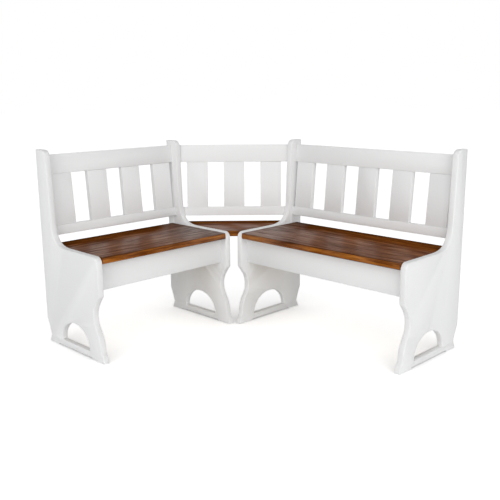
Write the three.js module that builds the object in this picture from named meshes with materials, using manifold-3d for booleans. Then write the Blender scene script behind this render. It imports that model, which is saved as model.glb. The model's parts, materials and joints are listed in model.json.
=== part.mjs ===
// Corner storage bench
//
// Two straight benches meet at a wall corner, and a corner unit with its own seat and back
// hangs between their inner end panels. The seats of the straight benches are lids over
// storage boxes. Millimetres, +Z up, standing on Z = 0. The wall corner is at low X and
// high Y. The left bench runs along Y with its back to low X, and the right bench runs
// along X with its back to high Y. The origin is the middle of the floor plan.

import * as THREE from 'three';
import { mergeVertices } from 'three/addons/utils/BufferGeometryUtils.js';
import Module from 'manifold-3d';

const wasm = await Module();
wasm.setup();

// Plan
const leftLength = 752; // left bench, over its two end panels
const rightLength = 943; // right bench, over its two end panels
const cornerClearance = 7.5; // toe of one inner end panel to the plane of the other

// End panels
const panelThickness = 28;
const panelDepth = 433; // wall to the upright front edge
const armHeight = 456; // level top edge beside the seat
const armRadius = 28; // round front end of that edge
const postRise = 416; // arm edge to the top of the back post
const postDepth = 88; // back post, where the cove runs into it
const postTopDepth = 77;
const crownDepth = 36; // rounded top front corner of the post
const crownHeight = 36;
const coveDepth = 116; // hollow curve between the arm and the post
const coveHeight = 129;
const coveRunShare = 0.72;
const coveRiseShare = 0.8;
const panelEase = 2.4; // softened edges of the panels

// Front scoop and feet of the end panels
const scoopTopHeight = 288; // sharp kink where the upright front edge ends
const waistHeight = 190;
const waistInset = 46.3;
const scoopShares = [0.66, 0.4, 0.4]; // pulls of the upper curve
const anklePullShares = [0.39, 0.98, 0.59]; // pulls of the lower curve
const ankleHeight = 50;
const ankleInset = 2.5;
const toeReach = 15; // front of the foot beyond the upright front edge
const toeSlope = 3;
const toeHeight = 29;
const toeStep = 9;
const heelHeight = 107; // the back edge turns in below this height
const heelPull = { depth: 18, height: 64 };
const heelWaistHeight = 34;
const heelWaistInset = 28;
const heelFlarePull = { depth: 21, height: 21 };
const heelInset = 15;
const heelLift = 6;
const reliefHeight = 6; // the panel stands on two pads with this hollow between them
const rearPadLength = 72;
const frontPadLength = 82;

// Arched opening of the end panels
const archForward = 16.5; // middle of the panel to the middle of the arch
const archWidth = 224;
const archHeight = 97;
const archSillHeight = 33;

// Backrest
const rakeDegrees = 4.95;
const backrestLift = 41.5; // seat top to the lower edge of the bottom rail
const backrestSetBack = 22; // post front to the rail faces at that edge
const railThickness = 26;
const topRailHeight = 86;
const bottomRailHeight = 43;
const topRailDrop = 23; // panel top down to the top rail
const slatWidth = 103.5;
const slatThickness = 23;
const slatSetBack = 1.5;
const railEase = 2;

// Slats of each back
const leftSlatCount = 4;
const leftSlatGaps = { outer: 14, inner: 17.5 }; // end panels to the nearest slats
const rightSlatCount = 5;
const rightSlatGaps = { outer: 19, inner: 12 };
const cornerSlatCount = 3;
const cornerSlatGap = 10; // inner end panels to the nearest slats, at the back's lower edge

// Seats
const seatSetDown = 3; // arm edge down to the seat top
const seatThickness = 28.5;
const seatFrontSetBack = 1; // panel front to the seat's front edge
const seatBackDepth = 33;
const seatNoseRadius = 5;
const seatEase = 2.5;
const lidSideClearance = 3;

// Storage boxes
const apronThickness = 20;
const apronSetBack = 39; // panel front to the front apron's face
const apronHeight = 121;
const rearApronDepth = 83; // wall to the back of the rear apron
const floorThickness = 9;
const floorLift = 12; // lower edge of the aprons to the floor's underside
const grooveDepth = 7;
const battenWidth = 45;
const battenThickness = 18;
const battenEndClearance = 8;
const battenInset = 110; // end panel to the middle of the nearest batten

// Tenons
const tenonLength = 14;
const tenonThickness = 10;
const tenonShoulder = 10;
const slatTenonLength = 9;
const slatTenonThickness = 8;
const dowelRadius = 5; // round tenons at the ends of the corner rails
const dowelLength = 12;

// Hinges
const leftHingeCount = 2;
const rightHingeCount = 3;
const hingeInset = 90; // end panel to the middle of the nearest hinge
const hingeLength = 50;
const barrelRadius = 3;
const pinRadius = 1.6;
const pinClearance = 0.15;
const knuckleCount = 3;
const knuckleGap = 0.4;
const leafThickness = 1.4;
const leafWidth = 24;
const leafHoleRadius = 2.2;
const leafHoleInset = 9;
const leafHoleCount = 2;

// Corner unit
const cornerBackSetForward = 39; // of the corner back's lower edge, before the turn into the corner
const cornerSeatSetBack = 56; // panel front to the corner seat's front, along each inner panel
const cleatWidth = 25;
const cleatHeight = 30;
const cleatStartDepth = 40;
const cleatSetBack = 42; // corner seat's front to the front end of each cleat
const boltRadius = 3;
const boltHeadRadius = 7;
const boltHeadThickness = 3.5;
const boltCleatLength = 18;
const boltSocketRadius = 2.6;
const boltSocketDepth = 2;
const boltSocketSides = 6;
const rearBoltInset = 30; // rear apron to the rear bolt
const frontBoltInset = 40; // front end of the cleat to the front bolt

// Fits and smoothness
const fitGap = 0.3;
const overrun = 5;
const weldDistance = 0.001;
const curveSteps = 10;
const roundSteps = 10;
const easeSteps = 2;
const panelEaseSteps = 1;
const barrelSteps = 10;

// Heights and depths that follow from the sizes above
const panelHeight = armHeight + postRise;
const cornerReach = panelDepth + toeReach + cornerClearance; // wall corner to each inner end panel
const archMiddleDepth = panelDepth / 2 + archForward;
const seatTop = armHeight - seatSetDown;
const seatUnderside = seatTop - seatThickness;
const apronTop = seatUnderside - fitGap;
const apronBottom = apronTop - apronHeight;
const apronFaceDepth = panelDepth - apronSetBack;
const floorUnderside = apronBottom + floorLift;
const rake = THREE.MathUtils.degToRad(rakeDegrees);
const backrestFoot = seatTop + backrestLift;
const backrestFootDepth = postDepth - backrestSetBack;
const backrestLength = (panelHeight - topRailDrop - backrestFoot) / Math.cos(rake);
const topRailFoot = backrestLength - topRailHeight;
const hingeAxisDepth = rearApronDepth - fitGap - barrelRadius;
const hingeAxisHeight = seatUnderside - fitGap - barrelRadius;
const cornerBackDistance = (cornerReach + backrestFootDepth + cornerBackSetForward) / Math.SQRT2;
const cornerSeatFrontDepth = panelDepth - cornerSeatSetBack;
const cleatEndDepth = cornerSeatFrontDepth - cleatSetBack;
const boltStartDepth = rearApronDepth + apronThickness + rearBoltInset;
const boltEndDepth = cleatEndDepth - frontBoltInset;

// Paint, stained wood, plain wood and metal
const paint = { color: 0xe6e5e2, roughness: 0.45, metalness: 0 };
const stainedWood = { color: 0x6b3f1e, roughness: 0.35, metalness: 0 };
const plainWood = { color: 0xc9a87c, roughness: 0.7, metalness: 0 };
const steel = { color: 0xb9bbbd, roughness: 0.35, metalness: 1 };

// Solids that can be cut and joined

function solidOf(geometry) {
  const bare = geometry.clone();
  bare.deleteAttribute('normal');
  bare.deleteAttribute('uv');
  const merged = mergeVertices(bare, weldDistance);
  const vertProperties = new Float32Array(merged.attributes.position.array);
  const triVerts = new Uint32Array(merged.index.array);
  return new wasm.Manifold(new wasm.Mesh({ numProp: 3, vertProperties, triVerts }));
}

function cut(solid, geometries) {
  return geometries.reduce((rest, geometry) => rest.subtract(solidOf(geometry)), solid);
}

function join(solid, geometries) {
  return geometries.reduce((whole, geometry) => whole.add(solidOf(geometry)), solid);
}

function meshOf(name, solid, finish) {
  const { vertProperties, triVerts } = solid.getMesh();
  const geometry = new THREE.BufferGeometry();
  geometry.setAttribute('position', new THREE.BufferAttribute(vertProperties, 3));
  geometry.setIndex(new THREE.BufferAttribute(triVerts, 1));
  geometry.computeVertexNormals();
  const mesh = new THREE.Mesh(geometry, new THREE.MeshStandardMaterial(finish));
  mesh.name = name;
  return mesh;
}

// A square block between two corners

function block(low, high) {
  const size = high.map((value, axis) => value - low[axis]);
  const middle = high.map((value, axis) => (value + low[axis]) / 2);
  return new THREE.BoxGeometry(...size).translate(...middle);
}

function grown(low, high, gap) {
  return block(low.map((value) => value - gap), high.map((value) => value + gap));
}

// A flat outline drawn as depth from the wall and height, sawn from a board that stands
// across the bench between start and start + thickness

function sawnAcross(outline, start, thickness, ease) {
  const board = new THREE.ExtrudeGeometry(outline, {
    depth: thickness - 2 * ease,
    bevelEnabled: ease > 0,
    bevelThickness: ease,
    bevelSize: ease,
    bevelOffset: -ease,
    bevelSegments: panelEaseSteps,
    curveSegments: curveSteps,
  });
  const across = new THREE.Matrix4().makeBasis(
    new THREE.Vector3(0, -1, 0),
    new THREE.Vector3(0, 0, 1),
    new THREE.Vector3(-1, 0, 0),
  );
  return board.applyMatrix4(across).translate(start + thickness - ease, 0, 0);
}

// A rectangle with softened corners, as a bar's section

function easedRectangle(width, height, radius) {
  const shape = new THREE.Shape();
  shape.absarc(width - radius, radius, radius, -Math.PI / 2, 0);
  shape.absarc(width - radius, height - radius, radius, 0, Math.PI / 2);
  shape.absarc(radius, height - radius, radius, Math.PI / 2, Math.PI);
  shape.absarc(radius, radius, radius, Math.PI, 1.5 * Math.PI);
  return shape;
}

function easedBar(width, height, radius, length) {
  const section = easedRectangle(width, height, radius);
  return new THREE.ExtrudeGeometry(section, {
    depth: length,
    bevelEnabled: false,
    curveSegments: easeSteps,
  });
}

// A bar that lies along X, with its section in Y and Z

function barAlongX(depth, height, radius, start, end) {
  const along = new THREE.Matrix4().makeBasis(
    new THREE.Vector3(0, 1, 0),
    new THREE.Vector3(0, 0, 1),
    new THREE.Vector3(1, 0, 0),
  );
  return easedBar(depth, height, radius, end - start).applyMatrix4(along).translate(start, 0, 0);
}

// End panels

function panelFront(outline) {
  const waistDepth = panelDepth - waistInset;
  const ankleDepth = panelDepth - ankleInset;
  const toeDepth = panelDepth + toeReach;
  const stepDepth = toeDepth - toeSlope;
  const upper = scoopTopHeight - waistHeight;
  const lower = waistHeight - ankleHeight;
  const anklePullDepth = waistDepth + (ankleDepth - waistDepth) * anklePullShares[1];
  outline.lineTo(toeDepth, 0);
  outline.lineTo(stepDepth, toeHeight);
  outline.lineTo(stepDepth - toeStep, toeHeight + toeStep);
  outline.lineTo(ankleDepth, ankleHeight);
  outline.bezierCurveTo(
    anklePullDepth, ankleHeight + lower * anklePullShares[2],
    waistDepth, waistHeight - lower * anklePullShares[0],
    waistDepth, waistHeight,
  );
  outline.bezierCurveTo(
    waistDepth, waistHeight + upper * scoopShares[1],
    panelDepth - waistInset * scoopShares[0], scoopTopHeight - upper * scoopShares[2],
    panelDepth, scoopTopHeight,
  );
  outline.lineTo(panelDepth, armHeight - armRadius);
  outline.absarc(panelDepth - armRadius, armHeight - armRadius, armRadius, 0, Math.PI / 2);
}

function panelPost(outline) {
  const coveEnd = armHeight + coveHeight;
  const crownFoot = panelHeight - crownHeight;
  outline.lineTo(postDepth + coveDepth, armHeight);
  outline.bezierCurveTo(
    postDepth + coveDepth * (1 - coveRunShare), armHeight,
    postDepth, coveEnd - coveHeight * coveRiseShare,
    postDepth, coveEnd,
  );
  outline.lineTo(postTopDepth, crownFoot);
  outline.quadraticCurveTo(postTopDepth, panelHeight, postTopDepth - crownDepth, panelHeight);
  outline.lineTo(0, panelHeight);
}

function panelHeel(outline) {
  outline.lineTo(0, heelHeight);
  outline.quadraticCurveTo(heelPull.depth, heelPull.height, heelWaistInset, heelWaistHeight);
  outline.quadraticCurveTo(heelFlarePull.depth, heelFlarePull.height, heelInset, heelLift);
  outline.lineTo(heelInset, 0);
}

function panelArch() {
  const arch = new THREE.Path();
  arch.absellipse(archMiddleDepth, archSillHeight, archWidth / 2, archHeight, 0, Math.PI);
  arch.lineTo(archMiddleDepth + archWidth / 2, archSillHeight);
  return arch;
}

function panelOutline() {
  const rearPadEnd = heelInset + rearPadLength;
  const frontPadStart = panelDepth + toeReach - frontPadLength;
  const outline = new THREE.Shape();
  outline.moveTo(heelInset, 0);
  outline.lineTo(rearPadEnd, 0);
  outline.lineTo(rearPadEnd + reliefHeight, reliefHeight);
  outline.lineTo(frontPadStart - reliefHeight, reliefHeight);
  outline.lineTo(frontPadStart, 0);
  panelFront(outline);
  panelPost(outline);
  panelHeel(outline);
  outline.holes.push(panelArch());
  return outline;
}

// The backrest stands on a raked plane. Its own frame has X along the rails, Y through
// them and Z up the slope, and starts at the lower front edge of the bottom rail.

function backrestPlace(footDistance) {
  const place = new THREE.Group();
  place.position.set(0, -footDistance, backrestFoot);
  place.rotation.x = -rake;
  place.updateMatrix();
  return place;
}

function railTenon(foot, height, start, end) {
  const inset = (railThickness - tenonThickness) / 2;
  return {
    low: [start, inset, foot + tenonShoulder],
    high: [end, inset + tenonThickness, foot + height - tenonShoulder],
  };
}

function apronTenon(faceDepth, start, end) {
  const inset = (apronThickness - tenonThickness) / 2;
  return {
    low: [start, -faceDepth + inset, apronBottom + tenonShoulder],
    high: [end, -faceDepth + inset + tenonThickness, apronTop - tenonShoulder],
  };
}

function slatSlot(middle, foot, end) {
  const half = slatWidth / 2 - tenonShoulder;
  const front = slatSetBack + (slatThickness - slatTenonThickness) / 2;
  return {
    low: [middle - half, front, foot],
    high: [middle + half, front + slatTenonThickness, end],
  };
}

function slatSlots(middles, foot, end) {
  return middles.map((middle) => {
    const slot = slatSlot(middle, foot, end);
    return grown(slot.low, slot.high, fitGap);
  });
}

function bottomRailSlots(middles) {
  return slatSlots(middles, bottomRailHeight - slatTenonLength, bottomRailHeight + overrun);
}

function topRailSlots(middles) {
  return slatSlots(middles, topRailFoot - overrun, topRailFoot + slatTenonLength);
}

function slat(name, middle) {
  const foot = bottomRailHeight + fitGap;
  const top = topRailFoot - fitGap;
  const bar = easedBar(slatWidth, slatThickness, railEase, top - foot);
  bar.translate(middle - slatWidth / 2, slatSetBack, foot);
  const tenon = slatSlot(middle, bottomRailHeight - slatTenonLength, topRailFoot + slatTenonLength);
  return meshOf(name, join(solidOf(bar), [block(tenon.low, tenon.high)]), paint);
}

// Slat middles, evenly spread between two ends

function spread(count, first, last) {
  const step = count > 1 ? (last - first) / (count - 1) : 0;
  return Array.from({ length: count }, (_, index) => first + index * step);
}

// Both ends of a rail or an apron carry a tenon that sits in a mortise of the end panel

function tenonedBar(bar, tenonAt, length) {
  const start = panelThickness + fitGap;
  const end = length - panelThickness - fitGap;
  const low = tenonAt(start - tenonLength, start + overrun);
  const high = tenonAt(end - overrun, end + tenonLength);
  return join(solidOf(bar), [block(low.low, low.high), block(high.low, high.high)]);
}

function benchRail(name, foot, height, length, slots) {
  const start = panelThickness + fitGap;
  const bar = barAlongX(railThickness, height, railEase, start, length - start).translate(0, 0, foot);
  const tenonAt = (from, to) => railTenon(foot, height, from, to);
  return meshOf(name, cut(tenonedBar(bar, tenonAt, length), slots), paint);
}

function benchBackrest(side) {
  const place = backrestPlace(backrestFootDepth);
  const { inner, outer } = side.slatGaps;
  const [startGap, endGap] = side.innerAtStart ? [inner, outer] : [outer, inner];
  const toMiddle = panelThickness + slatWidth / 2;
  const middles = spread(side.slatCount, toMiddle + startGap, side.length - toMiddle - endGap);
  const bottomSlots = bottomRailSlots(middles);
  const topSlots = topRailSlots(middles);
  place.add(benchRail(`${side.name}_bottom_rail`, 0, bottomRailHeight, side.length, bottomSlots));
  place.add(benchRail(`${side.name}_top_rail`, topRailFoot, topRailHeight, side.length, topSlots));
  middles.forEach((middle, index) => place.add(slat(`${side.name}_slat_${index + 1}`, middle)));
  return place;
}

// Mortises of an end panel that starts at the given place along its bench

function railMortises(start) {
  const placement = backrestPlace(backrestFootDepth).matrix;
  const rails = [[0, bottomRailHeight], [topRailFoot, topRailHeight]];
  return rails.map(([foot, height]) => {
    const tenon = railTenon(foot, height, start, start + tenonLength + overrun);
    return grown(tenon.low, tenon.high, fitGap).applyMatrix4(placement);
  });
}

function apronMortises(start) {
  return [apronFaceDepth, rearApronDepth + apronThickness].map((faceDepth) => {
    const tenon = apronTenon(faceDepth, start, start + tenonLength + overrun);
    return grown(tenon.low, tenon.high, fitGap);
  });
}

function panelMortises(side, atStart) {
  const innerFace = atStart ? panelThickness : side.length - panelThickness;
  const start = atStart ? innerFace - tenonLength : innerFace - overrun;
  return [...railMortises(start), ...apronMortises(start)];
}

// Places on an inner panel where the corner unit is let in or bolted on

function cornerDowels() {
  const half = railThickness / 2;
  return [bottomRailHeight / 2, topRailFoot + topRailHeight / 2].map((middle) => {
    const distance = cornerBackDistance - half * Math.cos(rake) - middle * Math.sin(rake);
    const height = backrestFoot - half * Math.sin(rake) + middle * Math.cos(rake);
    return { depth: distance * Math.SQRT2 - cornerReach, height };
  });
}

function cleatBolts() {
  const height = apronTop - cleatHeight / 2;
  return [boltStartDepth, boltEndDepth].map((depth) => ({ depth, height }));
}

function rodAlongX(radius, start, end, steps) {
  const rod = new THREE.CylinderGeometry(radius, radius, end - start, steps);
  return rod.rotateZ(-Math.PI / 2).translate((start + end) / 2, 0, 0);
}

function cornerBores(side, atStart) {
  const cornerFace = atStart ? 0 : side.length;
  const into = atStart ? dowelLength + fitGap : -dowelLength - fitGap;
  const out = atStart ? -overrun : overrun;
  const ends = [cornerFace + into, cornerFace + out].sort((a, b) => a - b);
  const dowels = cornerDowels().map(({ depth, height }) =>
    rodAlongX(dowelRadius + fitGap, ...ends, roundSteps).translate(0, -depth, height));
  const throughStart = atStart ? -overrun : side.length - panelThickness - overrun;
  const throughEnd = atStart ? panelThickness + overrun : side.length + overrun;
  const bolts = cleatBolts().map(({ depth, height }) =>
    rodAlongX(boltRadius + fitGap, throughStart, throughEnd, roundSteps).translate(0, -depth, height));
  return [...dowels, ...bolts];
}

function endPanel(side, atStart) {
  const start = atStart ? 0 : side.length - panelThickness;
  const inner = atStart === side.innerAtStart;
  const board = solidOf(sawnAcross(panelOutline(), start, panelThickness, panelEase));
  const bores = inner ? cornerBores(side, atStart) : [];
  const name = `${side.name}_${inner ? 'inner' : 'outer'}_end_panel`;
  return meshOf(name, cut(board, [...panelMortises(side, atStart), ...bores]), paint);
}

// Storage box

function storageFloor(side) {
  const start = panelThickness + fitGap;
  const back = rearApronDepth + apronThickness - grooveDepth + fitGap;
  const front = apronFaceDepth - apronThickness + grooveDepth - fitGap;
  return {
    low: [start, -front, floorUnderside],
    high: [side.length - start, -back, floorUnderside + floorThickness],
  };
}

function apron(name, faceDepth, side) {
  const start = panelThickness + fitGap;
  const bar = barAlongX(apronThickness, apronHeight, railEase, start, side.length - start);
  bar.translate(0, -faceDepth, apronBottom);
  const tenonAt = (from, to) => apronTenon(faceDepth, from, to);
  const floor = storageFloor(side);
  const groove = grown(floor.low, floor.high, fitGap);
  return meshOf(name, cut(tenonedBar(bar, tenonAt, side.length), [groove]), paint);
}

function storageBox(side) {
  const box = new THREE.Group();
  const floor = storageFloor(side);
  box.add(apron(`${side.name}_front_apron`, apronFaceDepth, side));
  box.add(apron(`${side.name}_rear_apron`, rearApronDepth + apronThickness, side));
  box.add(meshOf(`${side.name}_storage_floor`, solidOf(block(floor.low, floor.high)), plainWood));
  return box;
}

// Seat lid with a rounded nose, and the battens that keep it flat

function lidSection() {
  const frontDepth = panelDepth - seatFrontSetBack;
  const nose = seatNoseRadius;
  const section = new THREE.Shape();
  section.absarc(frontDepth - nose, seatUnderside + nose, nose, -Math.PI / 2, 0);
  section.absarc(frontDepth - nose, seatTop - nose, nose, 0, Math.PI / 2);
  section.absarc(seatBackDepth + seatEase, seatTop - seatEase, seatEase, Math.PI / 2, Math.PI);
  section.absarc(seatBackDepth + seatEase, seatUnderside + seatEase, seatEase, Math.PI, 1.5 * Math.PI);
  return section;
}

function seatLid(side) {
  const start = panelThickness + lidSideClearance;
  const board = sawnAcross(lidSection(), start, side.length - 2 * start, 0);
  return meshOf(`${side.name}_seat_lid`, solidOf(board), stainedWood);
}

function lidBatten(name, middle) {
  const back = rearApronDepth + apronThickness + battenEndClearance;
  const front = apronFaceDepth - apronThickness - battenEndClearance;
  const low = [middle - battenWidth / 2, -front, seatUnderside - fitGap - battenThickness];
  const high = [middle + battenWidth / 2, -back, seatUnderside - fitGap];
  return meshOf(name, solidOf(block(low, high)), plainWood);
}

function lidBattens(side) {
  const first = panelThickness + battenInset;
  return [first, side.length - first].map((middle, index) =>
    lidBatten(`${side.name}_lid_batten_${index + 1}`, middle));
}

// Butt hinge. Its own frame has X along the pin. The fixed leaf hangs down from the
// barrel with its outer face at low Y, against the back of the rear apron.

function knuckle(index) {
  const pitch = (hingeLength + knuckleGap) / knuckleCount;
  const start = -hingeLength / 2 + index * pitch;
  return { start, end: start + pitch - knuckleGap };
}

function knuckleBodies(index) {
  const { start, end } = knuckle(index);
  const tab = block(
    [start, -barrelRadius, -barrelRadius - knuckleGap - leafThickness],
    [end, -barrelRadius + leafThickness, 0],
  );
  return [rodAlongX(barrelRadius, start, end, barrelSteps), tab];
}

function leafHoles() {
  const holeHeight = -(barrelRadius + leafWidth) / 2;
  const first = -hingeLength / 2 + leafHoleInset;
  return spread(leafHoleCount, first, -first).map((along) => {
    const hole = new THREE.CylinderGeometry(leafHoleRadius, leafHoleRadius, 2 * overrun, roundSteps);
    return hole.translate(along, -barrelRadius, holeHeight);
  });
}

function hingeLeaf(name, indexes) {
  const plate = block(
    [-hingeLength / 2, -barrelRadius, -leafWidth],
    [hingeLength / 2, -barrelRadius + leafThickness, -barrelRadius - knuckleGap],
  );
  const whole = join(solidOf(plate), indexes.flatMap(knuckleBodies));
  const bore = rodAlongX(pinRadius + pinClearance, -hingeLength, hingeLength, barrelSteps);
  return meshOf(name, cut(whole, [bore, ...leafHoles()]), steel);
}

function hinge(name, along) {
  const place = new THREE.Group();
  place.position.set(along, -hingeAxisDepth, hingeAxisHeight);
  const indexes = Array.from({ length: knuckleCount }, (_, index) => index);
  const fixedLeaf = hingeLeaf(`${name}_fixed_leaf`, indexes.filter((index) => index % 2 === 0));
  const lidLeaf = hingeLeaf(`${name}_lid_leaf`, indexes.filter((index) => index % 2 === 1));
  lidLeaf.quaternion.setFromAxisAngle(new THREE.Vector3(0, 1, -1).normalize(), Math.PI);
  const pin = rodAlongX(pinRadius, -hingeLength / 2, hingeLength / 2, barrelSteps);
  place.add(fixedLeaf, lidLeaf, meshOf(`${name}_pin`, solidOf(pin), steel));
  return place;
}

function hinges(side) {
  const first = panelThickness + hingeInset;
  return spread(side.hingeCount, first, side.length - first).map((along, index) =>
    hinge(`${side.name}_hinge_${index + 1}`, along));
}

// A straight bench, in a frame with X along it from one end panel to the other, the wall
// at Y = 0 and its front towards low Y

function bench(side) {
  const place = new THREE.Group();
  place.add(endPanel(side, true), endPanel(side, false));
  place.add(benchBackrest(side), storageBox(side));
  place.add(seatLid(side), ...lidBattens(side), ...hinges(side));
  return place;
}

// Corner unit. Its back stands across the corner, in a frame with X across the corner and
// Y towards the wall corner.

function cornerPlace() {
  const place = new THREE.Group();
  place.rotation.z = Math.PI / 4;
  place.updateMatrix();
  return place;
}

function cornerToBackrest() {
  const placement = cornerPlace().matrix.multiply(backrestPlace(cornerBackDistance).matrix);
  return placement.invert();
}

function panelSpace() {
  const far = rightLength + leftLength;
  const face = cornerReach - fitGap;
  return [
    block([face, -far, -far], [face + far, far, far]),
    block([-far, -face - far, -far], [far, -face, far]),
  ].map((space) => space.applyMatrix4(cornerToBackrest()));
}

function dowelPair({ depth, height }) {
  const start = cornerReach - dowelLength;
  const end = cornerReach + dowelLength;
  const dowel = () => rodAlongX(dowelRadius, start, end, roundSteps);
  const right = dowel().translate(0, -depth, height);
  const left = dowel().rotateZ(-Math.PI / 2).translate(depth, 0, height);
  return [right, left].map((rod) => rod.applyMatrix4(cornerToBackrest()));
}

function cornerRail(name, foot, height, slots, dowel) {
  const half = cornerReach;
  const bar = barAlongX(railThickness, height, railEase, -half, half).translate(0, 0, foot);
  const fitted = cut(solidOf(bar), panelSpace());
  return meshOf(name, cut(join(fitted, dowelPair(dowel)), slots), paint);
}

function cornerBackrest() {
  const place = backrestPlace(cornerBackDistance);
  const halfWidth = cornerReach * Math.SQRT2 - cornerBackDistance;
  const outermost = halfWidth - cornerSlatGap - slatWidth / 2;
  const middles = spread(cornerSlatCount, -outermost, outermost);
  const [lowDowel, highDowel] = cornerDowels();
  place.add(cornerRail('corner_bottom_rail', 0, bottomRailHeight, bottomRailSlots(middles), lowDowel));
  place.add(cornerRail('corner_top_rail', topRailFoot, topRailHeight, topRailSlots(middles), highDowel));
  middles.forEach((middle, index) => place.add(slat(`corner_slat_${index + 1}`, middle)));
  return place;
}

function cornerSeat() {
  const face = cornerReach - fitGap;
  const outline = new THREE.Shape([
    new THREE.Vector2(0, -face),
    new THREE.Vector2(cornerSeatFrontDepth, -face),
    new THREE.Vector2(face, -cornerSeatFrontDepth),
    new THREE.Vector2(face, 0),
  ]);
  const board = new THREE.ExtrudeGeometry(outline, {
    depth: seatThickness - 2 * seatEase,
    bevelThickness: seatEase,
    bevelSize: seatEase,
    bevelOffset: -seatEase,
    bevelSegments: easeSteps,
  });
  board.translate(0, 0, seatUnderside + seatEase);
  return meshOf('corner_seat', solidOf(board), stainedWood);
}

// A cleat on the corner side of the right inner panel, with blind holes for its bolts.
// The left one is the same cleat seen in a mirror, which for this square bar is a turn.

function cleat(name) {
  const face = cornerReach - fitGap;
  const top = apronTop;
  const bar = block([face - cleatWidth, -cleatEndDepth, top - cleatHeight], [face, -cleatStartDepth, top]);
  const holes = cleatBolts().map(({ depth, height }) =>
    rodAlongX(boltRadius + fitGap, face - boltCleatLength - fitGap, face + overrun, roundSteps)
      .translate(0, -depth, height));
  return meshOf(name, cut(solidOf(bar), holes), plainWood);
}

function cleatBolt(name, { depth, height }) {
  const seat = cornerReach + panelThickness + fitGap;
  const end = seat + boltHeadThickness;
  const tip = cornerReach - boltCleatLength;
  const shank = rodAlongX(boltRadius, tip, seat + boltHeadThickness / 2, roundSteps);
  const head = rodAlongX(boltHeadRadius, seat, end, roundSteps);
  const socket = rodAlongX(boltSocketRadius, end - boltSocketDepth, end + overrun, boltSocketSides);
  const bolt = cut(join(solidOf(shank), [head]), [socket]);
  const mesh = meshOf(name, bolt, steel);
  mesh.position.set(0, -depth, height);
  return mesh;
}

function cleatAndBolts(name) {
  const place = new THREE.Group();
  place.add(cleat(`corner_cleat_${name}`));
  cleatBolts().forEach((at, index) => place.add(cleatBolt(`corner_bolt_${name}_${index + 1}`, at)));
  return place;
}

// The left cleat mirrors the right one about the line from the wall corner into the room.
// The pieces are the same seen from above or below, so half a turn about that line in the
// plane of the bolts places them.

function leftCleatPlace(pieces) {
  const { height } = cleatBolts()[0];
  const place = new THREE.Group();
  const flip = new THREE.Group();
  place.position.z = height;
  flip.add(pieces);
  pieces.position.z = -height;
  place.quaternion.setFromAxisAngle(new THREE.Vector3(1, -1, 0).normalize(), Math.PI);
  place.add(flip);
  return place;
}

function cornerUnit() {
  const place = new THREE.Group();
  const back = cornerPlace();
  back.add(cornerBackrest());
  place.add(back, cornerSeat(), cleatAndBolts('right'), leftCleatPlace(cleatAndBolts('left')));
  return place;
}

// The whole bench, moved so that the middle of its floor plan is the origin

const leftSide = {
  name: 'left',
  length: leftLength,
  slatCount: leftSlatCount,
  slatGaps: leftSlatGaps,
  hingeCount: leftHingeCount,
  innerAtStart: false,
};

const rightSide = {
  name: 'right',
  length: rightLength,
  slatCount: rightSlatCount,
  slatGaps: rightSlatGaps,
  hingeCount: rightHingeCount,
  innerAtStart: true,
};

const group = new THREE.Group();
group.position.set(-(cornerReach + rightLength) / 2, (cornerReach + leftLength) / 2, 0);

const rightBench = bench(rightSide);
rightBench.position.x = cornerReach;

const leftBench = bench(leftSide);
leftBench.rotation.z = Math.PI / 2;
leftBench.position.y = -cornerReach - leftLength;

group.add(leftBench, rightBench, cornerUnit());

export default group;
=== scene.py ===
# %% [markdown]
# # A painted corner bench with stained seats
#
# The bench is joinery: sawn end panels, raked backs of rails and slats, and seat boards that lift
# as lids over storage boxes. Its parts arrive as plain solids with their real sizes and places.
# This lesson gives them the softened edges, the paint, the stain and the metal that the eye
# expects, adds the screws, and sets up a quiet studio round them.

# %% Load the bench
import json
import math

import bpy
from mathutils import Matrix, Vector

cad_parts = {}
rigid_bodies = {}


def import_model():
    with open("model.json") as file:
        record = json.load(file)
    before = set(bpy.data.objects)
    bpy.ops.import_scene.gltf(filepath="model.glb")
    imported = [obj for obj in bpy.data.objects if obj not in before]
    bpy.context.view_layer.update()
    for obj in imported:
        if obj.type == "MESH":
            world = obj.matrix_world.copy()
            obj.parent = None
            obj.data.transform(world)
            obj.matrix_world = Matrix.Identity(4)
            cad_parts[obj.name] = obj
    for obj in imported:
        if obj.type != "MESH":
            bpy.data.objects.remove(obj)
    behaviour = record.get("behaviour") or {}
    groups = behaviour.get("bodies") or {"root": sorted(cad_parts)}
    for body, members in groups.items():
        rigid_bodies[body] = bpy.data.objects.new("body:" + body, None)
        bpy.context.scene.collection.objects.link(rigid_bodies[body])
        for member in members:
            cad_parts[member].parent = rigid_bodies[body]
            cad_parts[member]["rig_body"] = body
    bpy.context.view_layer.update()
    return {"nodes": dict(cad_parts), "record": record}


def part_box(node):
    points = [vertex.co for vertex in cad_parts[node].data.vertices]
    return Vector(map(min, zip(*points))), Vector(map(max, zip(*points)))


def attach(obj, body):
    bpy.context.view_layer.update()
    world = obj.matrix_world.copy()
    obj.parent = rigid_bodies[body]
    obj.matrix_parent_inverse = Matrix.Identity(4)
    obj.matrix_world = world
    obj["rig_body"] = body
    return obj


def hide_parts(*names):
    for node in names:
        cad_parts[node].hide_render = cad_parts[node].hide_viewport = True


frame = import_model()
print("solids:", len(frame["nodes"]))

# %% [markdown]
# ## The camera
#
# The view looks into the corner along the diagonal, from a little above the backs, with a short
# telephoto lens. Starting with the camera shows what every later step changes.

# %% Camera
MM = 0.001
AZIMUTH, PITCH, ROLL = 0.7832, 0.2235, -0.0073  # radians
EYE = Vector((2165.87, -2162.28, 1127.40)) * MM
SENSOR_MM = 36
LENS_MM = 51.446

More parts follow.
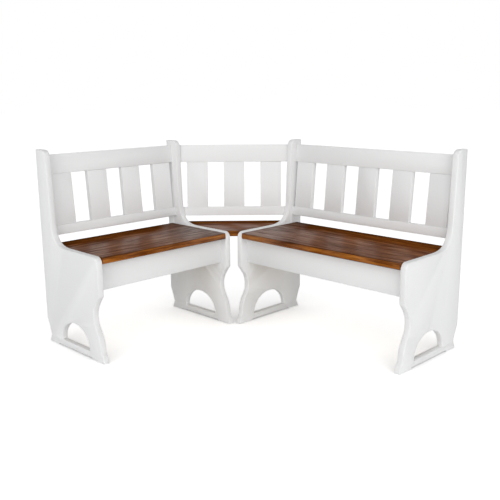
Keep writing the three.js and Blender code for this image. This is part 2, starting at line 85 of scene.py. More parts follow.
lens = bpy.data.cameras.new("view")
lens.sensor_width = SENSOR_MM
lens.lens = LENS_MM
camera = bpy.data.objects.new("view", lens)
bpy.context.scene.collection.objects.link(camera)
camera.matrix_world = (
    Matrix.Translation(EYE)
    @ Matrix.Rotation(AZIMUTH, 4, "Z")
    @ Matrix.Rotation(math.pi / 2 - PITCH, 4, "X")
    @ Matrix.Rotation(ROLL, 4, "Z")
)
bpy.context.scene.camera = camera
bpy.context.scene.view_settings.view_transform = "Standard"
print("lens:", round(lens.lens, 2), "mm")

# %% [markdown]
# ## Colours
#
# Colours are written as hex codes, which are gamma encoded, while shaders mix light in
# linear values. One small function turns the first into the second.

# %% Colour codes to linear values
def linear(code):
    """A colour written as #RRGGBB, in the linear values that shaders mix."""
    parts = [int(code[i:i + 2], 16) / 255 for i in (1, 3, 5)]
    return tuple(v / 12.92 if v <= 0.04045 else ((v + 0.055) / 1.055) ** 2.4 for v in parts) + (1,)


WHITE = linear("#FFFFFF")
print("mid grey in linear values:", round(linear("#808080")[0], 3))

# %% [markdown]
# ## One way to add a shader node
#
# Every material below is a small network. Adding a node always means the same things: choose its
# kind, set its options, place the stops of its colour ramp if it has one, and feed its sockets
# with values or with other nodes. A material itself starts as one surface shader.

# %% A node with its settings and links
def feed(tree, node, **sockets):
    """Sets or links sockets, named with _ for their spaces, or s0, s1 and so on by place."""
    for name, value in sockets.items():
        by_place = name[0] == "s" and name[1:].isdigit()
        key = int(name[1:]) if by_place else name.replace("_", " ")
        if isinstance(value, bpy.types.NodeSocket):
            tree.links.new(value, node.inputs[key])
        else:
            node.inputs[key].default_value = value


def add_node(tree, kind, options=None, stops=(), **sockets):
    """Adds one shader node, and feeds its sockets."""
    node = tree.nodes.new(kind)
    for name, value in (options or {}).items():
        setattr(node, name, value)
    for index, (position, code) in enumerate(stops):
        elements = node.color_ramp.elements
        element = elements[index] if index < 2 else elements.new(position)
        element.position = position
        element.color = linear(code)
    feed(tree, node, **sockets)
    return node


def new_material(name):
    """An empty material, its tree and its surface shader."""
    material = bpy.data.materials.new(name)
    material.use_nodes = True
    tree = material.node_tree
    tree.nodes.clear()
    shader = add_node(tree, "ShaderNodeBsdfPrincipled")
    add_node(tree, "ShaderNodeOutputMaterial", Surface=shader.outputs["BSDF"])
    return material, tree, shader


# %% [markdown]
# ## Short names for the nodes used most
#
# A few kinds of node come back in every material: a sum, a change of range, a noise pattern, a
# colour ramp, a blend of two colours, and a bump. Each gets a function that returns its result,
# so that the materials read like sums.

# %% Nodes used most
def calculate(tree, operation, *values):
    sockets = {f"s{index}": value for index, value in enumerate(values)}
    return add_node(tree, "ShaderNodeMath", {"operation": operation}, **sockets).outputs["Value"]


def remap(tree, value, start, end, first=0.0, last=1.0, kind="LINEAR"):
    """Goes from first to last while the value goes from start to end, and no further."""
    return add_node(
        tree, "ShaderNodeMapRange", {"interpolation_type": kind}, Value=value,
        From_Min=start, From_Max=end, To_Min=first, To_Max=last,
    ).outputs["Result"]


def ease(tree, value, start, end, first=0.0, last=1.0):
    """The same, with a soft beginning and end."""
    return remap(tree, value, start, end, first, last, "SMOOTHSTEP")


def squeeze(tree, place, share):
    """Counts X at this share of its length, so that a pattern is drawn out along X."""
    return add_node(tree, "ShaderNodeMapping", Vector=place, Scale=(share, 1, 1)).outputs["Vector"]


def noise(tree, place, size_mm, detail, roughness=0.5, **fourth):
    """Noise with features of about this size. W=seed gives a board a pattern of its own."""
    return add_node(
        tree, "ShaderNodeTexNoise", {"noise_dimensions": "4D" if fourth else "3D"}, Vector=place,
        Scale=1 / (size_mm * MM), Detail=detail, Roughness=roughness, **fourth,
    ).outputs["Fac"]


def ramp(tree, value, stops):
    return add_node(tree, "ShaderNodeValToRGB", stops=stops, Fac=value).outputs["Color"]


def blend(tree, share, first, second, kind="MIX"):
    return add_node(
        tree, "ShaderNodeMix", {"data_type": "RGBA", "blend_type": kind},
        s0=share, s6=first, s7=second,
    ).outputs["Result"]


def bumps(tree, height, depth_mm, strength):
    return add_node(
        tree, "ShaderNodeBump", Strength=strength, Distance=depth_mm * MM, Height=height,
    ).outputs["Normal"]


# %% [markdown]
# ## Sprayed satin paint on pine
#
# The frame is pine under a white satin lacquer. Spraying leaves a fine orange peel, about a
# millimetre and a half across, and the coat is a touch uneven from place to place. Colour stays
# almost flat, and the sheen carries the detail.

# %% Satin white lacquer, sprayed
PEEL_MM, PEEL_DEPTH_MM, PEEL_STRENGTH = 1.6, 0.2, 0.06
CLOUD_MM, CLOUD_LOW, CLOUD_HIGH = 180, 0.3, 0.7
LACQUER_ROUGHNESS = 0.45, 0.5
LACQUER_SPECULAR = 0.2
VARNISH_IOR = 1.5


def sprayed_lacquer(name, code, thin_code):
    material, tree, shader = new_material(name)
    place = add_node(tree, "ShaderNodeTexCoord").outputs["Object"]
    cloud = noise(tree, place, CLOUD_MM, 3.0)
    peel = noise(tree, place, PEEL_MM, 2.0)
    feed(
        tree, shader,
        Base_Color=blend(tree, cloud, linear(code), linear(thin_code)),
        Roughness=remap(tree, cloud, CLOUD_LOW, CLOUD_HIGH, *LACQUER_ROUGHNESS),
        Normal=bumps(tree, peel, PEEL_DEPTH_MM, PEEL_STRENGTH),
        IOR=VARNISH_IOR,
        Specular_IOR_Level=LACQUER_SPECULAR,
    )
    return material


LACQUER = sprayed_lacquer("sprayed_satin_lacquer_on_pine", "#EEEEEE", "#EBECEC")
print("material:", LACQUER.name)

# %% [markdown]
# ## Stained seat boards: where on the board
#
# The seats are solid pine boards, stained a rich brown and finished with thin oil. Everything in
# the finish follows the board: fibres run along it, its back edge, under the backrest, is the
# least used part, and its inner end, where people slide round the corner, is used most. So the
# material first works out, for each point, how far it lies along the board from the inner end
# and how far out from the back edge.

# %% Coordinates of a board
def board_place(tree, place, corner, turn, mirror):
    """Along the board in X and out from its back edge in -Y, both from its corner."""
    moved = add_node(
        tree, "ShaderNodeVectorMath", {"operation": "SUBTRACT"}, s0=place, s1=corner,
    ).outputs["Vector"]
    return add_node(
        tree, "ShaderNodeMapping", Vector=moved,
        Rotation=(0, 0, math.radians(turn)), Scale=(1, mirror, 1),
    ).outputs["Vector"]


# %% [markdown]
# ## Stained seat boards: fibres and pores
#
# Pine fibres run the length of the board, so a noise pattern is stretched tenfold along it. The
# figure of early and late wood is two centimetres wide, with finer streaks in it. Stain also
# sinks into the resin ducts, hair-thin lines as long as a hand. They are drawn three millimetres
# wide, which is coarser than they are, because otherwise they would not show.

# %% Fibres along the board
STREAK_MM, STREAK_SQUEEZE = 20, 0.1
PORE_MM, PORE_SQUEEZE = 3, 0.02


def fibres(tree, along, seed):
    """The streaks and the pores of one board."""
    streaks = noise(tree, squeeze(tree, along, STREAK_SQUEEZE), STREAK_MM, 6.0, 0.65, W=seed)
    pores = noise(tree, squeeze(tree, along, PORE_SQUEEZE), PORE_MM, 3.0, 0.6, W=seed)
    return streaks, pores


# %% [markdown]
# ## Stained seat boards: where they are used
#
# Clothes polish a seat. Along the back edge nobody sits, and the oil stays dull. Further out, and
# at the inner end, it has a soft shine, which is worn a little along the front. Broad patches
# bend the edges of these zones, and fibres feather them.

# %% Wear
PATCH_BEND_MM, FIBRE_BEND_MM = 80, 50
FADE_MM = 120
END_SLOPE, END_FADE_MM, END_SHARE = 1.4, 140, 0.72
FRONT_WEAR_MM = 240, 430
FRONT_WEAR = 0.8


def distance_out(tree, where, patches, streaks):
    """How far out from the back edge each place counts as, bent by patches and fibres."""
    middle = (PATCH_BEND_MM + FIBRE_BEND_MM) / 2
    bend = calculate(tree, "MULTIPLY_ADD", patches, PATCH_BEND_MM * MM, -middle * MM)
    bend = calculate(tree, "MULTIPLY_ADD", streaks, FIBRE_BEND_MM * MM, bend)
    return calculate(tree, "SUBTRACT", bend, where.outputs["Y"])


def wear(tree, where, out, dull_mm):
    """How much each place is used."""
    past_back = ease(tree, out, dull_mm * MM, (dull_mm + FADE_MM) * MM)
    beyond_end = calculate(tree, "MULTIPLY_ADD", where.outputs["X"], -END_SLOPE, out)
    near_end = ease(tree, beyond_end, -END_FADE_MM * MM, 0.0)
    used = calculate(tree, "MULTIPLY_ADD", near_end, END_SHARE, past_back)
    front = ease(tree, out, FRONT_WEAR_MM[0] * MM, FRONT_WEAR_MM[1] * MM, 1.0, FRONT_WEAR)
    return calculate(tree, "MULTIPLY", used, front)


# %% [markdown]
# ## Stained seat boards: where they shine
#
# Pine drinks oil unevenly, so cloudy patches in the shine lie slantwise, less than two hands
# apart. They are stronger away from the inner end. Wear and clouds together become the weight of
# a thin coat over the wood. A coat shows most where the eye looks along the board, as real polish
# does, and leaves the colour alone where it looks down on it.

# %% Polish
PITCH_MM, FIRST_MM = 172, 181
CLOUD_SLANT = 0.7
CLOUD_FEATHER_MM = 130
CLOUD_EDGE = -0.6
AWAY_MM = 150, 380
CLOUD_SHARE = 0.2, 0.52


def polish(tree, where, patches, streaks, dull_mm):
    """How polished each place is: its wear, less the slanting clouds."""
    out = distance_out(tree, where, patches, streaks)
    slant = calculate(tree, "MULTIPLY_ADD", out, -CLOUD_SLANT, where.outputs["X"])
    slant = calculate(tree, "MULTIPLY_ADD", streaks, CLOUD_FEATHER_MM * MM, slant)
    first = FIRST_MM + CLOUD_FEATHER_MM / 2
    phase = calculate(
        tree, "MULTIPLY_ADD", slant, 2 * math.pi / (PITCH_MM * MM), -2 * math.pi * first / PITCH_MM,
    )
    cloud = ease(tree, calculate(tree, "COSINE", phase), CLOUD_EDGE, 1.0)
    away = ease(tree, where.outputs["X"], AWAY_MM[0] * MM, AWAY_MM[1] * MM, *CLOUD_SHARE)
    clear = calculate(tree, "SUBTRACT", 1.0, calculate(tree, "MULTIPLY", cloud, away))
    return calculate(tree, "MULTIPLY", wear(tree, where, out, dull_mm), clear)


# %% [markdown]
# ## Stained seat boards: the colour
#
# The rounded front edge keeps the brightest, most orange stain. The rounds along the edges are
# darkened into thin lines: on the upper front round, where the front meets the flat, and on the
# lower round, where the darkening is painted shade. A dark line along the back edge, under the
# backrest, is painted shade as well. Which way the face looks, on the board itself, tells the edges
# from the flat sides, and it stays true when a lid is lifted. The open pores are darker than all of
# it.

# %% Brown stain
FLAT_STAIN = ((0.34, "#522A0C"), (0.5, "#7A4319"), (0.66, "#9D6025"))
FRONT_STAIN = ((0.34, "#5E2F08"), (0.5, "#8E5012"), (0.64, "#B6701E"))
# Darkens the rounds of a board; on the lower round this darkening is painted shade.
FRONT_ROUND_LINE_AND_PAINTED_SHADE = ((0.3, "#FFFFFF"), (0.6, "#909090"), (0.9, "#909090"), (0.985, "#FFFFFF"))
# A dark line painted along the back edge, under the backrest: painted shade.
PAINTED_BACK_SHADE_MM, PAINTED_BACK_SHADE = 12, 0.15
OPEN_PORES = ((0.36, "#8A7A6C"), (0.56, "#FFFFFF"))
PORE_SHARE = 0.75
EDGE_LEVEL, FLAT_LEVEL = 0.8, 0.98


def flatness(tree, source):
    """How level the face is on the board itself, and 0 on its edges to 1 on its flat sides."""
    facing = add_node(tree, "ShaderNodeSeparateXYZ", Vector=source.outputs["Normal"]).outputs["Z"]
    level = calculate(tree, "ABSOLUTE", facing)
    return level, ease(tree, level, EDGE_LEVEL, FLAT_LEVEL)


def stain_colour(tree, where, level, flat, streaks, pores):
    front_colour, flat_colour = ramp(tree, streaks, FRONT_STAIN), ramp(tree, streaks, FLAT_STAIN)
    colour = blend(tree, flat, front_colour, flat_colour)
    # The rounds are darkened; on the lower round this darkening is painted shade.
    round_line_and_painted_shade = ramp(tree, level, FRONT_ROUND_LINE_AND_PAINTED_SHADE)
    # Painted shade along the back edge, where the seat runs in under the backrest.
    painted_back_shade = ease(tree, where.outputs["Y"], -PAINTED_BACK_SHADE_MM * MM, 0.0, 1.0, PAINTED_BACK_SHADE)
    for dark in (round_line_and_painted_shade, painted_back_shade):
        colour = blend(tree, 1.0, colour, dark, "MULTIPLY")
    return blend(tree, PORE_SHARE, colour, ramp(tree, pores, OPEN_PORES), "MULTIPLY")


# %% [markdown]
# ## Stained seat boards: the whole finish
#
# The coat is thinner in the soft streaks, which drink the oil, and thicker on the hard ones. On
# the edges of a board it has a share of its own.

# %% Stain and thin oil
PATCH_MM, PATCH_SQUEEZE = 110, 0.6
STREAK_LOW, STREAK_HIGH = 0.34, 0.66
COAT_SPREAD = 0.35, 1.65
COAT_ROUGHNESS = 0.35
WOOD_LOW, WOOD_HIGH = 0.3, 0.7
WOOD_ROUGHNESS = 0.62, 0.5
PORE_DEPTH_MM, PORE_STRENGTH = 0.3, 0.15


def stained_board(name, corner, turn, mirror, seed, dull_mm, coat, edge_coat):
    """corner: where the back edge meets the inner end. turn: degrees from the board to X."""
    material, tree, shader = new_material(name)
    source = add_node(tree, "ShaderNodeTexCoord")
    along = board_place(tree, source.outputs["Object"], corner, turn, mirror)
    where = add_node(tree, "ShaderNodeSeparateXYZ", Vector=along)
    streaks, pores = fibres(tree, along, seed)
    patches = noise(tree, squeeze(tree, along, PATCH_SQUEEZE), PATCH_MM, 3.0, W=seed)
    level, flat = flatness(tree, source)

    thickness = remap(tree, streaks, STREAK_LOW, STREAK_HIGH, *(coat * s for s in COAT_SPREAD))
    shine = calculate(
        tree, "MULTIPLY", polish(tree, where, patches, streaks, dull_mm), thickness,
    )
    on_edges = remap(tree, flat, 0.0, 1.0, edge_coat, 1.0)
    feed(
        tree, shader,
        Base_Color=stain_colour(tree, where, level, flat, streaks, pores),
        Roughness=remap(tree, streaks, WOOD_LOW, WOOD_HIGH, *WOOD_ROUGHNESS),
        Normal=bumps(tree, pores, PORE_DEPTH_MM, PORE_STRENGTH),
        Coat_Weight=calculate(tree, "MULTIPLY", shine, on_edges),
        Coat_Roughness=COAT_ROUGHNESS,
        IOR=VARNISH_IOR,
        Specular_IOR_Level=0.0,
    )
    return material


# %% [markdown]
# ## Three seats, three directions
#
# The grain runs along each seat, so each board gets its own copy of the stain, turned to suit. A
# Y scale of -1 mirrors the left board, so that both count from the inner corner outwards. The
# corner seat has its back edge across the corner, at 45 degrees. It is counted from a point far
# off along that edge, because neither of its ends is the worn one. It is also the shiniest of the
# three, with hardly any oil on its front edge.

# %% The stain on each seat
LID_OIL = {"dull_mm": 77, "coat": 0.46, "edge_coat": 1.0}
CORNER_OIL = {"dull_mm": 60, "coat": 1.25, "edge_coat": 0.2}
FAR_ALONG_MM = 500

left_low, left_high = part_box("left_seat_lid")
right_low, right_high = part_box("right_seat_lid")
left_corner = (left_low.x, left_high.y, left_high.z)
right_corner = (right_low.x, right_high.y, right_high.z)
corner_points = [vertex.co for vertex in frame["nodes"]["corner_seat"].data.vertices]
back_edge = min(point.x - point.y for point in corner_points) / 2
corner_start = (
    back_edge - FAR_ALONG_MM * MM, -back_edge - FAR_ALONG_MM * MM,
    max(point.z for point in corner_points),
)
STAIN = {
    "left_seat_lid": stained_board(
        "stained_board_left", left_corner, turn=-90, mirror=-1, seed=1.0, **LID_OIL,
    ),
    "right_seat_lid": stained_board(
        "stained_board_right", right_corner, turn=0, mirror=1, seed=2.3, **LID_OIL,
    ),
    "corner_seat": stained_board(
        "stained_board_corner", corner_start, turn=-45, mirror=1, seed=3.7, **CORNER_OIL,
    ),
}
print("materials:", [m.name for m in STAIN.values()])

# %% [markdown]
# ## Bare pine and birch plywood
#
# Nobody paints what the lid hides. The battens and cleats are planed pine, pale and straight
# grained, with rings about six millimetres apart, and the storage floors are thin birch plywood,
# whose peeled face shows a wider and softer figure.

# %% Planed pine and birch plywood
PLANED_PINE = {"light": "#DDBD8E", "dark": "#C4975F", "ring_mm": 6}
BIRCH_PLYWOOD = {"light": "#D9C19C", "dark": "#C6A87C", "ring_mm": 14}
RING_SQUEEZE = 0.06
RING_DARK, RING_LIGHT = 0.35, 0.65
RING_DEPTH_MM, RING_STRENGTH = 0.2, 0.1
BARE_ROUGHNESS, BARE_SPECULAR = 0.62, 0.3


def bare_wood(name, turn, light, dark, ring_mm):
    material, tree, shader = new_material(name)
    place = add_node(tree, "ShaderNodeTexCoord").outputs["Object"]
    along = add_node(
        tree, "ShaderNodeMapping", Vector=place, Rotation=(0, 0, math.radians(turn)),
    ).outputs["Vector"]
    rings = noise(tree, squeeze(tree, along, RING_SQUEEZE), ring_mm, 4.0, 0.55)
    feed(
        tree, shader,
        Base_Color=ramp(tree, rings, ((RING_DARK, dark), (RING_LIGHT, light))),
        Normal=bumps(tree, rings, RING_DEPTH_MM, RING_STRENGTH),
        Roughness=BARE_ROUGHNESS,
        Specular_IOR_Level=BARE_SPECULAR,
    )
    return material


PINE = {
    "left": bare_wood("planed_pine_left", 0, **PLANED_PINE),
    "right": bare_wood("planed_pine_right", 90, **PLANED_PINE),
}
PLYWOOD = {
    "left": bare_wood("birch_plywood_left", -90, **BIRCH_PLYWOOD),
    "right": bare_wood("birch_plywood_right", 0, **BIRCH_PLYWOOD),
}
print("materials:", [m.name for m in (*PINE.values(), *PLYWOOD.values())])

# %% [markdown]
# ## Zinc-plated steel
#
# Hinges, bolts and screws are pressed and turned steel under a thin bright zinc coat, which
# clouds as it ages. A metal keeps its default index of refraction, and the clouding lives in
# the colour and the roughness.

# %% Zinc-plated steel
BLOOM_MM = 5
BLOOM_COLOURS = ((0.35, "#A9ABAC"), (0.65, "#C6C8C6"))
BLOOM_LOW, BLOOM_HIGH = 0.3, 0.7
ZINC_ROUGHNESS = 0.28, 0.45


def zinc_plate(name):
    material, tree, shader = new_material(name)
    place = add_node(tree, "ShaderNodeTexCoord").outputs["Object"]
    bloom = noise(tree, place, BLOOM_MM, 3.0)
    feed(
        tree, shader,
        Base_Color=ramp(tree, bloom, BLOOM_COLOURS),
        Roughness=remap(tree, bloom, BLOOM_LOW, BLOOM_HIGH, *ZINC_ROUGHNESS),
        Metallic=1.0,
    )
    return material


ZINC = zinc_plate("zinc_plated_steel")
print("material:", ZINC.name)

# %% [markdown]
# ## Softened edges on every board
#
# A planed and painted board has no razor edges. Sandpaper takes them down before the paint goes
# on, and the thin round catches a line of light. Each piece is a copy of its solid with its
# triangles merged back into whole faces, and a bevel modifier rounds what is still sharp. The
# bevel hardens the normals, so that wide faces stay flat and only the rounds shade smoothly.
# Where it leaves a sliver on a thin part, that is dissolved.

# %% Copy a solid and round its edges
WELD_MM = 0.01
SLIVER_MM = 0.002
FLAT_DEGREES = 0.5
SHARP_DEGREES = 32
SMOOTH_DEGREES = 38
PANEL_ROUND_MM, BOARD_ROUND_MM = 1.1, 0.6
SLOT = {entry["node"]: entry["material_slot"] for entry in frame["record"]["subparts"]}


def make_active(piece):
    bpy.ops.object.select_all(action="DESELECT")
    piece.select_set(True)
    bpy.context.view_layer.objects.active = piece


def edit_whole():
    bpy.ops.object.mode_set(mode="EDIT")
    bpy.ops.mesh.select_all(action="SELECT")


def soften(node, material, radius_mm, steps=2):
    """A finished copy of one solid, which takes the solid's place and rides where it rides."""
    solid = frame["nodes"][node]
    piece = bpy.data.objects.new(f"finished_{node}", solid.data.copy())
    bpy.context.scene.collection.objects.link(piece)
    make_active(piece)
    edit_whole()
    bpy.ops.mesh.remove_doubles(threshold=WELD_MM * MM)
    bpy.ops.mesh.dissolve_limited(angle_limit=math.radians(FLAT_DEGREES))
    bpy.ops.object.mode_set(mode="OBJECT")
    bevel = piece.modifiers.new("rounded edges", "BEVEL")
    bevel.width = radius_mm * MM
    bevel.segments = steps
    bevel.limit_method = "ANGLE"
    bevel.angle_limit = math.radians(SHARP_DEGREES)
    bevel.use_clamp_overlap = True
    bevel.harden_normals = True
    bpy.ops.object.modifier_apply(modifier=bevel.name)
    edit_whole()
    bpy.ops.mesh.dissolve_degenerate(threshold=SLIVER_MM * MM)
    bpy.ops.object.mode_set(mode="OBJECT")
    bpy.ops.object.shade_smooth_by_angle(angle=math.radians(SMOOTH_DEGREES))
    piece.data.materials.clear()
    piece.data.materials.append(material)
    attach(piece, solid["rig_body"])
    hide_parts(node)
    return piece


painted = [node for node, name in SLOT.items() if name == "painted_wood"]
finished = [
    soften(node, LACQUER, PANEL_ROUND_MM if "panel" in node else BOARD_ROUND_MM)
    for node in painted
]
print("painted pieces:", len(finished), "faces:", sum(len(p.data.polygons) for p in finished))

# %% [markdown]
# ## The seats
#
# The seat boards already have their rounded front edge. They get the same light sanding, and
# each its own stained material, with the grain along the seat.

# %% Seat boards
SEAT_ROUND_MM = 0.8

seats = [soften(node, material, SEAT_ROUND_MM) for node, material in STAIN.items()]
print("seats:", [piece.name for piece in seats])

# %% [markdown]
# ## Hidden timber and hardware
#
# Battens, cleats, floors, hinges and bolts are seen only when a lid is up or from below, and
# they are finished all the same.

# %% Battens, cleats, floors, hinges and bolts
PLYWOOD_ROUND_MM, PINE_ROUND_MM, STEEL_ROUND_MM = 0.3, 1.5, 0.15


def side_of(node):
    return "left" if "left" in node else "right"


hidden = []
for node, name in SLOT.items():
    if "floor" in node:
        hidden.append(soften(node, PLYWOOD[side_of(node)], PLYWOOD_ROUND_MM))
    elif name == "plain_wood":
        hidden.append(soften(node, PINE[side_of(node)], PINE_ROUND_MM))
    elif name == "steel":
        hidden.append(soften(node, ZINC, STEEL_ROUND_MM, steps=1))
print("hidden pieces:", len(hidden))

# %% [markdown]
# ## One screw
#
# Cross-head wood screws hold the hinge leaves, the lid battens and the corner seat. Only a head
# ever shows, a low dome with a cross sunk into it, so only the head is modelled. A cylinder's
# top rim is beveled to a dome, and the flat that is left is inset. The first screw stands on the
# origin and looks up.

# %% A screw head before its cross
HEAD_RADIUS_MM = 3.6
HEAD_HEIGHT_MM = 1.2
HEAD_SIDES = 24
DOME_MM = 0.9
RIM_MM = 0.4


def select_faces(piece, wanted):
    """In edit mode, selects the faces for which wanted(face) is true, and no others."""
    bpy.ops.object.mode_set(mode="OBJECT")
    for item in (*piece.data.vertices, *piece.data.edges):
        item.select = False
    for face in piece.data.polygons:
        face.select = wanted(face)
    bpy.ops.object.mode_set(mode="EDIT")


def looks_up(face):
    return face.normal.z > 0.99


bpy.ops.object.select_all(action="DESELECT")
bpy.ops.mesh.primitive_cylinder_add(
    vertices=HEAD_SIDES, radius=HEAD_RADIUS_MM * MM, depth=HEAD_HEIGHT_MM * MM,
    location=(0, 0, HEAD_HEIGHT_MM * MM / 2),
)
screw = bpy.context.object
screw.name = "screw_head"
bpy.ops.object.transform_apply(location=True, rotation=False, scale=False)
bpy.ops.object.mode_set(mode="EDIT")
bpy.ops.mesh.select_mode(type="FACE")
select_faces(screw, looks_up)
bpy.ops.mesh.bevel(offset=DOME_MM * MM, segments=3, affect="EDGES")
select_faces(screw, looks_up)
bpy.ops.mesh.inset(thickness=RIM_MM * MM, depth=0)
print("screw faces after its dome:", len(screw.data.polygons))

# %% [markdown]
# ## The cross in the head
#
# Bisecting cuts the selected faces along a plane. Two cuts each way leave a grid of nine faces,
# and the five in its middle rows are the cross. They are pushed down.

# %% Cut and sink the cross
CROSS_REACH_MM = 2.1
CROSS_HALF_WIDTH_MM = 0.45
CROSS_DEPTH_MM = 0.8
SCREW_SMOOTH_DEGREES = 40


def inside_rim(face):
    return looks_up(face) and face.center.xy.length < CROSS_REACH_MM * MM


def in_cross(face):
    off_axis = min(abs(face.center.x), abs(face.center.y))
    return inside_rim(face) and off_axis < CROSS_HALF_WIDTH_MM * MM


for axis in ((1, 0, 0), (0, 1, 0)):
    for side in (-1, 1):
        select_faces(screw, inside_rim)
        cut = Vector(axis) * side * CROSS_HALF_WIDTH_MM * MM
        bpy.ops.mesh.bisect(plane_co=cut, plane_no=axis)
select_faces(screw, in_cross)
bpy.ops.mesh.extrude_region_move(TRANSFORM_OT_translate={"value": (0, 0, -CROSS_DEPTH_MM * MM)})
bpy.ops.object.mode_set(mode="OBJECT")
bpy.ops.object.shade_smooth_by_angle(angle=math.radians(SCREW_SMOOTH_DEGREES))
screw.data.materials.append(ZINC)
print("screw faces:", len(screw.data.polygons))

# %% [markdown]
# ## Where the screws go
#
# Each place is a point on the surface and the direction that the head looks in. The hinge leaves
# have two holes each, beside the pin: the fixed leaf's screws look at the wall, and the lid
# leaf's look down. Three screws hold each lid batten, and two each cleat of the corner seat.

# %% Places of the screws
HOLE_ALONG_MM = 16
HOLE_OUT_MM = 13.5
LEAF_FACE_MM = 1.6
BATTEN_SHARES = -0.36, 0, 0.36
CLEAT_SHARES = -0.3, 0.3
DOWN = Vector((0, 0, -1))
WALL = {"left": Vector((-1, 0, 0)), "right": Vector((0, 1, 0))}
ALONG = {"left": Vector((0, 1, 0)), "right": Vector((1, 0, 0))}

screws = []
for node in SLOT:
    low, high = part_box(node)
    middle = (low + high) / 2
    wall, along = WALL[side_of(node)], ALONG[side_of(node)]
    if node.endswith("_pin"):
        for sign in (-1, 1):
            hole = middle + along * sign * HOLE_ALONG_MM * MM
            on_fixed = hole + (DOWN * HOLE_OUT_MM - wall * LEAF_FACE_MM) * MM
            on_lid = hole + (wall * HOLE_OUT_MM - DOWN * LEAF_FACE_MM) * MM
            screws.append((node.replace("_pin", "_fixed_leaf"), on_fixed, wall))
            screws.append((node.replace("_pin", "_lid_leaf"), on_lid, DOWN))
    elif "batten" in node or "cleat" in node:
        length = abs((high - low).dot(wall))
        for share in BATTEN_SHARES if "batten" in node else CLEAT_SHARES:
            place = middle + wall * length * share
            screws.append((node, Vector((place.x, place.y, low.z)), DOWN))
print("screws:", len(screws))

# %% [markdown]
# ## Copy the screw to its places
#
# Every copy has a mesh of its own. It is turned and moved as an object, and then that place is
# applied to the mesh, so that the object itself stays at the origin like all the others.

# %% Screws in place
SCREW_TURN_DEGREES = 23

for index, (node, place, look) in enumerate(screws):
    piece = bpy.data.objects.new(f"screw_{index + 1:02d}_{node}", screw.data.copy())
    bpy.context.scene.collection.objects.link(piece)
    turn = Matrix.Rotation(math.radians(SCREW_TURN_DEGREES * index), 4, "Z")
    aim = look.to_track_quat("Z", "Y").to_matrix().to_4x4()
    piece.matrix_world = Matrix.Translation(place) @ aim @ turn
    make_active(piece)
    bpy.ops.object.transform_apply(location=True, rotation=True, scale=True)
    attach(piece, frame["nodes"][node]["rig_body"])
bpy.data.objects.remove(screw)
print("placed:", len(screws), "screws")

# %% [markdown]
# ## The studio floor
#
# The bench stands in a white room without edges. The floor is a wide matt plane that keeps the
# bench's soft shadow. To the camera, and in reflections, it adds light of its own, so that it
# meets the white background without a line. Close beside a foot that light fades, by as much as
# the foot covers the floor, and a narrow contact shadow is left.

# %% A floor that is seen as white
FLOOR_SIZE = 60
FLOOR_GLOW = 0.6
SHADOW_REACH_MM = 240
SHADOW_SAMPLES = 16


def seen_directly(tree):
    """1 for the camera's own rays, reflections and rays through glass, and 0 for soft light."""
    path = add_node(tree, "ShaderNodeLightPath")
    seen = path.outputs["Is Camera Ray"]
    for ray in ("Is Glossy Ray", "Is Transmission Ray"):
        seen = calculate(tree, "MAXIMUM", seen, path.outputs[ray])
    return seen


bpy.ops.object.select_all(action="DESELECT")
bpy.ops.mesh.primitive_plane_add(size=FLOOR_SIZE, location=(0, 0, 0))
floor = bpy.context.object
floor.name = "studio_floor"
paper = bpy.data.materials.new("white_studio_paper")
paper.use_nodes = True
tree = paper.node_tree
tree.nodes.clear()
open_share = add_node(
    tree, "ShaderNodeAmbientOcclusion", {"samples": SHADOW_SAMPLES}, Distance=SHADOW_REACH_MM * MM,
).outputs["AO"]
glow_strength = calculate(tree, "MULTIPLY", open_share, FLOOR_GLOW)
shown = calculate(tree, "MULTIPLY", seen_directly(tree), glow_strength)
glow = add_node(tree, "ShaderNodeEmission", Color=WHITE, Strength=shown).outputs["Emission"]
matt = add_node(tree, "ShaderNodeBsdfDiffuse", Color=linear("#F2F2F2")).outputs["BSDF"]
both = add_node(tree, "ShaderNodeAddShader", s0=glow, s1=matt).outputs["Shader"]
add_node(tree, "ShaderNodeOutputMaterial", Surface=both)
floor.data.materials.append(paper)
print("floor:", floor.name)

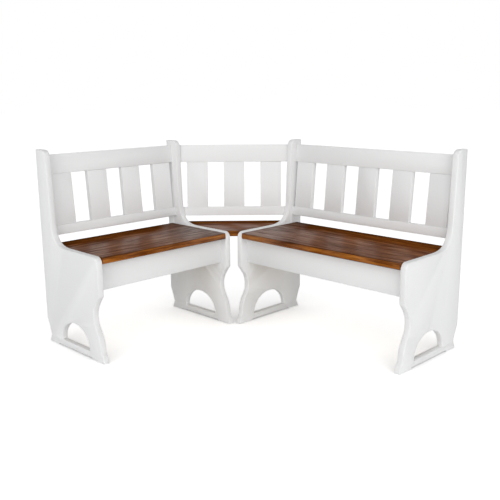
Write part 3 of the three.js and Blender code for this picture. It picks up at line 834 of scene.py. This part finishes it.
# %% [markdown]
# ## The room's light
#
# A wall of diffused light stands behind the camera, and the room behind the bench has less than
# half of its light. That is why slots and hollows are darker while everything that faces the
# camera is bright and even. The world does this for soft light: its strength follows its
# direction. Seen directly it is plain white.

# %% World
BRIGHT_SIDE = Vector((0.7, -0.7, -0.35)).normalized()
DIM, BRIGHT = 0.42, 1.03
DIM_BELOW, BRIGHT_ABOVE = -0.4, 0.9

world = bpy.data.worlds.new("white_studio")
bpy.context.scene.world = world
world.use_nodes = True
tree = world.node_tree
tree.nodes.clear()
direction = add_node(tree, "ShaderNodeTexCoord").outputs["Generated"]
facing = add_node(
    tree, "ShaderNodeVectorMath", {"operation": "DOT_PRODUCT"}, s0=direction, s1=BRIGHT_SIDE,
).outputs["Value"]
soft_light = ease(tree, facing, DIM_BELOW, BRIGHT_ABOVE, DIM, BRIGHT)
strength = add_node(
    tree, "ShaderNodeMix", {"data_type": "FLOAT"}, s0=seen_directly(tree), s2=soft_light, s3=1.0,
).outputs["Result"]
sky = add_node(tree, "ShaderNodeBackground", Color=WHITE, Strength=strength)
add_node(tree, "ShaderNodeOutputWorld", Surface=sky.outputs["Background"])
print("world:", world.name)

# %% [markdown]
# ## Two soft lamps
#
# Two wide soft lamps stand left and right of the camera, each facing one of the two benches. They
# are weak, and only tell the two directions of the bench and its edges apart. The left one stands
# far off, so that its light keeps about three quarters of its strength from the nearest end panel
# to the back.

# %% Lamps
SEAT_HEIGHT = Vector((0, 0, 0.45))


def soft_lamp(name, place, width, power):
    """A square lamp that looks at the middle of the bench. Metres and watts."""
    light = bpy.data.lights.new(name, "AREA")
    light.shape = "SQUARE"
    light.size = width
    light.energy = power
    lamp = bpy.data.objects.new(name, light)
    bpy.context.scene.collection.objects.link(lamp)
    lamp.location = place
    lamp.rotation_euler = (SEAT_HEIGHT - Vector(place)).to_track_quat("-Z", "Y").to_euler()
    return lamp


lamps = [
    soft_lamp("left_softbox", (1.7, -6.2, 0.7), width=4.2, power=116),
    soft_lamp("right_softbox", (3.7, -1.35, 1.35), width=2.9, power=36),
]
print("lamps:", [lamp.name for lamp in lamps])
